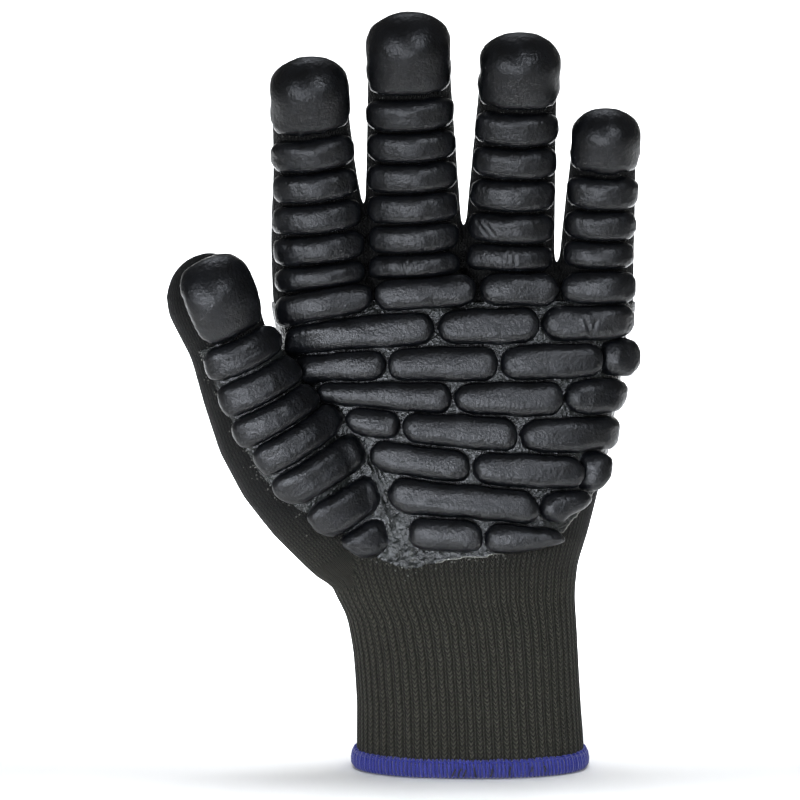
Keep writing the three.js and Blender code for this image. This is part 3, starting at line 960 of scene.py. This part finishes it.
# %% Wind the threads over a thin band
bm = merged_copy("cuff_hem")
bmesh.ops.subdivide_edges(bm, edges=bm.edges, cuts=1, use_grid_fill=True, smooth=0.4)
bmesh.ops.recalc_face_normals(bm, faces=bm.faces)
bm.normal_update()
for v in bm.verts:
    v.co -= v.normal * band_inset
for mesh in (thread(wrap_points, thread_radius, "wrap"), thread(lock_points, lock_radius, "lock")):
    bm.from_mesh(mesh)
    bpy.data.meshes.remove(mesh)
blue_faces = len(bm.faces)
for across, low_end, high_end, lean in black_stitches:
    line = []
    for t in (0, 0.5, 1):
        share = share_at((across + lean * t) * MM)
        offset = black_offset - black_bow * abs(t - 0.5)
        line.append(rim_point(share, offset * MM, (low_end + (high_end - low_end) * t) * MM))
    mesh = thread(line, black_radius, "stitch", closed=False)
    bm.from_mesh(mesh)
    bpy.data.meshes.remove(mesh)
for face in bm.faces[blue_faces:]:
    face.material_index = 1
hem = piece_from(bm, "overlock_hem")
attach(hem, "root")
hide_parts("cuff_hem")
print("The hem has", stitch_count, "stitches and", len(hem.data.polygons), "faces")

# %% [markdown]
# ## Finishes
# Every finish is procedural: textures made by noise and by the direction of the yarn, at their real
# size in millimetres. One function adds a node with its settings and links.

# %% Helpers for finishes
def linear(hex_code):
    """An sRGB hex colour as the linear colour that a shader wants."""
    shares = [int(hex_code[i:i + 2], 16) / 255 for i in (1, 3, 5)]
    return tuple(c / 12.92 if c <= 0.04045 else ((c + 0.055) / 1.055) ** 2.4 for c in shares) + (1,)


def add(tree, kind, inputs=None, **settings):
    """Adds a node. Settings are its own properties; inputs are plain values or other nodes' sockets."""
    made = tree.nodes.new("ShaderNode" + kind)
    for key, value in settings.items():
        setattr(made, key, value)
    for key, value in (inputs or {}).items():
        if isinstance(value, bpy.types.NodeSocket):
            tree.links.new(value, made.inputs[key])
        else:
            made.inputs[key].default_value = value
    return made


def blank(name):
    """A new material's node tree and its shader."""
    material = bpy.data.materials.new(name)
    material.use_nodes = True
    tree = material.node_tree
    return material, tree, tree.nodes["Principled BSDF"]


def mixed(tree, factor, one, other):
    """A blend of two colours. Inputs 6 and 7 of a Mix node are its colours, and output 2 is the blend."""
    return add(tree, "Mix", {"Factor": factor, 6: one, 7: other}, data_type="RGBA").outputs[2]


def ramp(tree, factor, stops):
    """A ramp of colours through stops of place and hex colour."""
    made = add(tree, "ValToRGB", {"Fac": factor})
    elements = made.color_ramp.elements
    while len(elements) < len(stops):
        elements.new(0.5)
    for element, (place, colour) in zip(elements, stops):
        element.position = place
        element.color = linear(colour)
    return made.outputs["Color"]


def per_mm(size):
    """The texture scale whose features are this many millimetres wide."""
    return 1 / (size * MM)


# %% [markdown]
# ### Photographer's paper
# Matt white paper, so that the eye sees only the glove and its soft shadow.

# %% Paper
paper, tree, shader = blank("matt_white_paper")
place = add(tree, "TexCoord").outputs["Object"]
tooth = add(tree, "TexNoise", {"Vector": place, "Scale": per_mm(2), "Detail": 2})
raised = add(tree, "Bump", {"Height": tooth.outputs["Fac"], "Strength": 0.1, "Distance": 0.1 * MM})
tree.links.new(raised.outputs["Normal"], shader.inputs["Normal"])
shader.inputs["Base Color"].default_value = linear("#fbf8f1")
shader.inputs["Roughness"].default_value = 0.9
floor.data.materials.append(paper)

# %% [markdown]
# ### Chloroprene rubber
# The cushions are foamed chloroprene, moulded against a dull mould. The eye sees a soft grey sheen,
# broken by a fine leathery grain of about a millimetre and by shallow dents a few millimetres wide.

# %% Chloroprene rubber
rubber, tree, shader = blank("moulded_chloroprene_rubber")
place = add(tree, "TexCoord").outputs["Object"]
grain = add(tree, "TexNoise", {"Vector": place, "Scale": per_mm(0.55), "Detail": 2, "Roughness": 0.5})
dents = add(tree, "TexNoise", {"Vector": place, "Scale": per_mm(4.5), "Detail": 1, "Roughness": 0.5})
pores = add(tree, "TexVoronoi", {"Vector": place, "Scale": per_mm(1.1)}, feature="SMOOTH_F1")
fine = add(tree, "Math", {0: grain.outputs["Fac"], 1: pores.outputs["Distance"]}, operation="SUBTRACT")
raised = add(tree, "Bump", {"Height": dents.outputs["Fac"], "Strength": 0.45, "Distance": 0.45 * MM})
raised = add(tree, "Bump", {
    "Height": fine.outputs[0], "Strength": 0.5, "Distance": 0.27 * MM, "Normal": raised.outputs["Normal"],
})
# Ripples about 5 mm apart: a wave texture repeats after 0.31 of its scaled place
ripple_scale = 0.05 * per_mm(0.8)
turned = add(tree, "Mapping", {"Vector": place, "Rotation": (0, math.radians(27), 0)}).outputs["Vector"]
ripples = add(
    tree, "TexWave", {"Vector": turned, "Scale": ripple_scale, "Distortion": 1.5}, bands_direction="X",
)
rippled = add(tree, "Attribute", attribute_name="rippled").outputs["Fac"]
ripple_height = add(tree, "Math", {0: ripples.outputs["Fac"], 1: rippled}, operation="MULTIPLY").outputs[0]
raised = add(tree, "Bump", {
    "Height": ripple_height, "Strength": 0.6, "Distance": 0.25 * MM, "Normal": raised.outputs["Normal"],
})
shine = add(tree, "MapRange", {
    "Value": dents.outputs["Fac"], "From Min": 0.3, "From Max": 0.7, "To Min": 0.3, "To Max": 0.37,
})
black = ramp(tree, dents.outputs["Fac"], [(0.3, "#050608"), (0.7, "#0b0d11")])
tree.links.new(black, shader.inputs["Base Color"])
tree.links.new(shine.outputs["Result"], shader.inputs["Roughness"])
tree.links.new(raised.outputs["Normal"], shader.inputs["Normal"])
shader.inputs["IOR"].default_value = 1.52
for piece in cushions.values():
    piece.data.materials.append(rubber)
print("Rubber is on", len(cushions), "cushions")

# %% [markdown]
# ### Rubber film
# The film is the same rubber, brushed on thin. It takes the knit's grain and shines a little more, so
# the grooves between the cushions glitter.

# %% Rubber film
coating, tree, shader = blank("brushed_rubber_film")
place = add(tree, "TexCoord").outputs["Object"]
grit = add(tree, "TexNoise", {"Vector": place, "Scale": per_mm(1.0), "Detail": 1.5, "Roughness": 0.5})
smear = add(tree, "TexNoise", {"Vector": place, "Scale": per_mm(6), "Detail": 3, "Roughness": 0.6})
raised = add(tree, "Bump", {"Height": grit.outputs["Fac"], "Strength": 0.8, "Distance": 0.6 * MM})
dark = ramp(tree, smear.outputs["Fac"], [(0.3, "#151715"), (0.7, "#2b2e2c")])
# Painted highlights: a pale grey mixed into the film's colour on the cut lip, the nodules and the drops
highlight_share = add(tree, "Attribute", attribute_name="painted_highlight").outputs["Fac"]
film_colour_and_highlights = mixed(tree, highlight_share, dark, linear("#8c8c84"))
tree.links.new(film_colour_and_highlights, shader.inputs["Base Color"])
tree.links.new(raised.outputs["Normal"], shader.inputs["Normal"])
shader.inputs["Roughness"].default_value = 0.24
shader.inputs["IOR"].default_value = 1.52
film.data.materials.append(coating)

# %% [markdown]
# ### Knitted nylon
# Knit is columns of small V shapes called wales. A flat picture of them would stretch over the fingers,
# so the glove's UV map counts them: across is the number of wales round the palm, a finger or the
# thumb, and up is the number of rows. A V is then two slanting legs, worked out from the place inside
# one wale, and it needs no picture.

# %% Count the wales round the palm, the fingers and the thumb
# The height of a row of stitches, in millimetres
row_height = 1.5
finger_wales = 60
thumb_wales = 72
knuckle_height = 166 * MM
finger_curl = 16 * MM
finger_roots = {"index": 5, "middle": 6, "ring": 5, "little": 3}

# The thumb's line through its middle, from its root to its tip, in millimetres
thumb_line = np.array([
    (-42.9, -5.0, 78.3), (-52.3, -6.4, 91.2), (-60.9, -8.1, 104.5), (-68.7, -10.3, 118.3),
    (-75.7, -12.8, 132.5), (-82.0, -15.8, 146.9), (-87.6, -19.3, 162.1),
]) * MM
thumb_half = 16.5 * MM
thumb_end = 30 * MM
thumb_foot = 80 * MM
thumb_lowest, thumb_right = 60 * MM, -40 * MM


def wales_round(across, outward, count):
    """Wales counted round an oval from the palm side, for places across it and out of the palm."""
    turn = np.arctan2(across, outward)
    return np.interp(turn, oval_turns, oval_shares) * count


def yarn_places(points):
    """For each point: its region, and its wale and row in every region."""
    x, y, z = points.T
    rows = z / MM / row_height
    centre, half, deep = palm_at(z)
    # On the cuff a rib's crest is wider than the groove beside it, so its stitches are wider too
    ribs = wales_round((x - centre) / half, -y / deep, cuff_ribs)
    fade = np.clip((cuff_top - z) / (cuff_top - fade_from), 0, 1)
    phase = ribs - np.floor(ribs + 0.5)
    crest = 0.25 + 0.12 * fade
    inner = phase / crest / 4
    outer = np.sign(phase) * (0.25 + (np.abs(phase) - crest) / (0.5 - crest) / 4)
    warped = np.where(np.abs(phase) < crest, inner, outer)
    counted = [((np.floor(ribs + 0.5) + warped) * wales_per_rib, rows)]
    spread = np.hypot((x - centre) / half, y / deep)
    middles = []
    for name in finger_names:
        low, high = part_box(f"{name}_tip_pad")
        root_low, root_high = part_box(f"{name}_rib_{finger_roots[name]}")
        share = (z - root_low.z) / (high.z - root_low.z)
        top, root = (low + high) / 2, (root_low + root_high) / 2
        middle_x = root.x + (top.x - root.x) * share
        middle_y = -finger_curl * np.clip(share, 0, 1.2) ** 1.6
        middles.append(middle_x)
        counted.append((wales_round((x - middle_x), -(y - middle_y), finger_wales), rows))
    away = np.full(len(points), 1e9)
    along = np.zeros(len(points))
    thumb_across, thumb_out = np.zeros(len(points)), np.zeros(len(points))
    walked = 0.0
    for a, b in zip(thumb_line[:-1], thumb_line[1:]):
        line = b - a
        length = np.linalg.norm(line)
        line /= length
        last = np.array_equal(b, thumb_line[-1])
        t = np.clip((points - a) @ line, 0, thumb_end if last else length)
        offset = points - a - t[:, None] * line
        distance = np.linalg.norm(offset, axis=1)
        side = np.cross(line, (0, 1, 0))
        side /= np.linalg.norm(side)
        side = -side if side[0] < 0 else side
        out = np.cross(side, line)
        out = -out if out[1] > 0 else out
        nearer = distance < away
        away[nearer] = distance[nearer]
        along[nearer] = (walked + t)[nearer]
        thumb_across[nearer] = (offset @ side)[nearer]
        thumb_out[nearer] = (offset @ out)[nearer]
        walked += length
    thumb_rows = (along + thumb_foot) / MM / row_height
    counted.append((wales_round(thumb_across, thumb_out, thumb_wales), thumb_rows))
    middles = np.array(middles)
    region = np.where(z > knuckle_height, 1 + np.abs(middles - x).argmin(axis=0), 0)
    on_thumb = (away / thumb_half < np.minimum(spread, 1.6)) & (x < thumb_right)
    region = np.where(on_thumb & (z > thumb_lowest), 5, region)
    return region, np.array([c[0] for c in counted]), np.array([c[1] for c in counted])


mesh = knit.data
loop_corner = np.empty(len(mesh.loops), np.int32)
mesh.loops.foreach_get("vertex_index", loop_corner)
face_size = np.empty(len(mesh.polygons), np.int32)
mesh.polygons.foreach_get("loop_total", face_size)
face_of_loop = np.repeat(np.arange(len(face_size)), face_size)
face_start = np.concatenate([[0], np.cumsum(face_size)[:-1]])

points = corners(mesh)
middle_points = np.add.reduceat(points[loop_corner], face_start) / face_size[:, None]
face_region = yarn_places(middle_points)[0]
_, wales, rows = yarn_places(points)
region = face_region[face_of_loop]
u = wales[region, loop_corner]
v = rows[region, loop_corner]
whole = np.array([cuff_ribs * wales_per_rib] + [finger_wales] * 4 + [thumb_wales])[region]
first = u[face_start][face_of_loop]
u += whole * np.round((first - u) / whole)
yarn_map = mesh.uv_layers.new(name="yarn")
yarn_map.uv.foreach_set("vector", np.stack([u, v], axis=1).astype(np.float32).ravel())
print("Faces in each region:", np.bincount(face_region))

# %% Knitted nylon
knitted, tree, shader = blank("knitted_nylon")
yarn = add(tree, "UVMap", uv_map="yarn").outputs["UV"]
place = add(tree, "TexCoord").outputs["Object"]
wobble = add(tree, "TexNoise", {"Vector": place, "Scale": per_mm(3), "Detail": 2})
split = add(tree, "SeparateXYZ", {0: yarn})


def sum_up(operation, a, b=0.0, c=0.0):
    """One step of arithmetic on the knit's pattern."""
    return add(tree, "Math", {0: a, 1: b, 2: c}, operation=operation).outputs[0]


# Half a wale is added because a rib's crest lies on a whole number: 0.3 of it here, and the rest by the
# noise, whose mean is a half
shifted = sum_up("MULTIPLY_ADD", wobble.outputs["Fac"], 0.4, sum_up("ADD", split.outputs["X"], 0.3))
inside = sum_up("FRACT", shifted)
aside = sum_up("ABSOLUTE", sum_up("SUBTRACT", inside, 0.5))
slant = sum_up("MULTIPLY_ADD", aside, -1.9, split.outputs["Y"])
leg_turn = sum_up("MULTIPLY", sum_up("MULTIPLY_ADD", wobble.outputs["Fac"], 0.5, slant), 2 * math.pi)
leg = sum_up("MULTIPLY_ADD", sum_up("COSINE", leg_turn), 0.5, 0.5)
column = sum_up("SINE", sum_up("MULTIPLY", inside, math.pi))
valley = sum_up("MULTIPLY_ADD", sum_up("COSINE", sum_up("MULTIPLY", aside, 4 * math.pi)), -0.12, 1)
height = sum_up("MULTIPLY", sum_up("MULTIPLY", sum_up("MULTIPLY_ADD", leg, 0.8, 0.2), column), valley)
fuzz = add(tree, "TexNoise", {"Vector": place, "Scale": per_mm(0.35), "Detail": 3})
rough_height = sum_up("MULTIPLY_ADD", fuzz.outputs["Fac"], 0.35, height)
raised = add(tree, "Bump", {"Height": rough_height, "Strength": 0.9, "Distance": 0.8 * MM})
# The knit's colour follows its height: painted shade in the grooves between the stitches and a painted
# highlight on the tops of the yarn
cuff_colour_shaded = ramp(tree, rough_height, [(0.1, "#080806"), (1.0, "#44433a")])
# Above the cuff the knit is painted darker, as painted shade: there it shows mostly in the narrow grooves
# between the cushions
hand_colour_in_shade = ramp(tree, rough_height, [(0.1, "#050505"), (1.0, "#232321")])
up = add(tree, "SeparateXYZ", {"Vector": place}).outputs["Z"]
hand_shade_share = add(tree, "MapRange", {"Value": up, "From Min": 62 * MM, "From Max": 92 * MM}).outputs["Result"]
tree.links.new(mixed(tree, hand_shade_share, cuff_colour_shaded, hand_colour_in_shade), shader.inputs["Base Color"])
tree.links.new(raised.outputs["Normal"], shader.inputs["Normal"])
shader.inputs["Roughness"].default_value = 0.85
shader.inputs["Specular IOR Level"].default_value = 0.25
mesh.materials.append(knitted)

# %% [markdown]
# ### Overlock thread
# Bright blue textured nylon, soft and matt, with a fine twist that catches light along each stitch. The
# second material is for the few black stitches.

# %% Overlock thread
blue, tree, shader = blank("textured_nylon_thread")
place = add(tree, "TexCoord").outputs["Object"]
fibre = add(tree, "TexNoise", {"Vector": place, "Scale": per_mm(0.4), "Detail": 3, "Roughness": 0.6})
raised = add(tree, "Bump", {"Height": fibre.outputs["Fac"], "Strength": 0.5, "Distance": 0.15 * MM})
thread_colour = ramp(tree, fibre.outputs["Fac"], [(0.3, "#1b2068"), (0.7, "#2a3092")])
tree.links.new(thread_colour, shader.inputs["Base Color"])
tree.links.new(raised.outputs["Normal"], shader.inputs["Normal"])
shader.inputs["Roughness"].default_value = 0.8
shader.inputs["Sheen Weight"].default_value = 0.3
hem.data.materials.append(blue)
hem.data.materials.append(rubber)
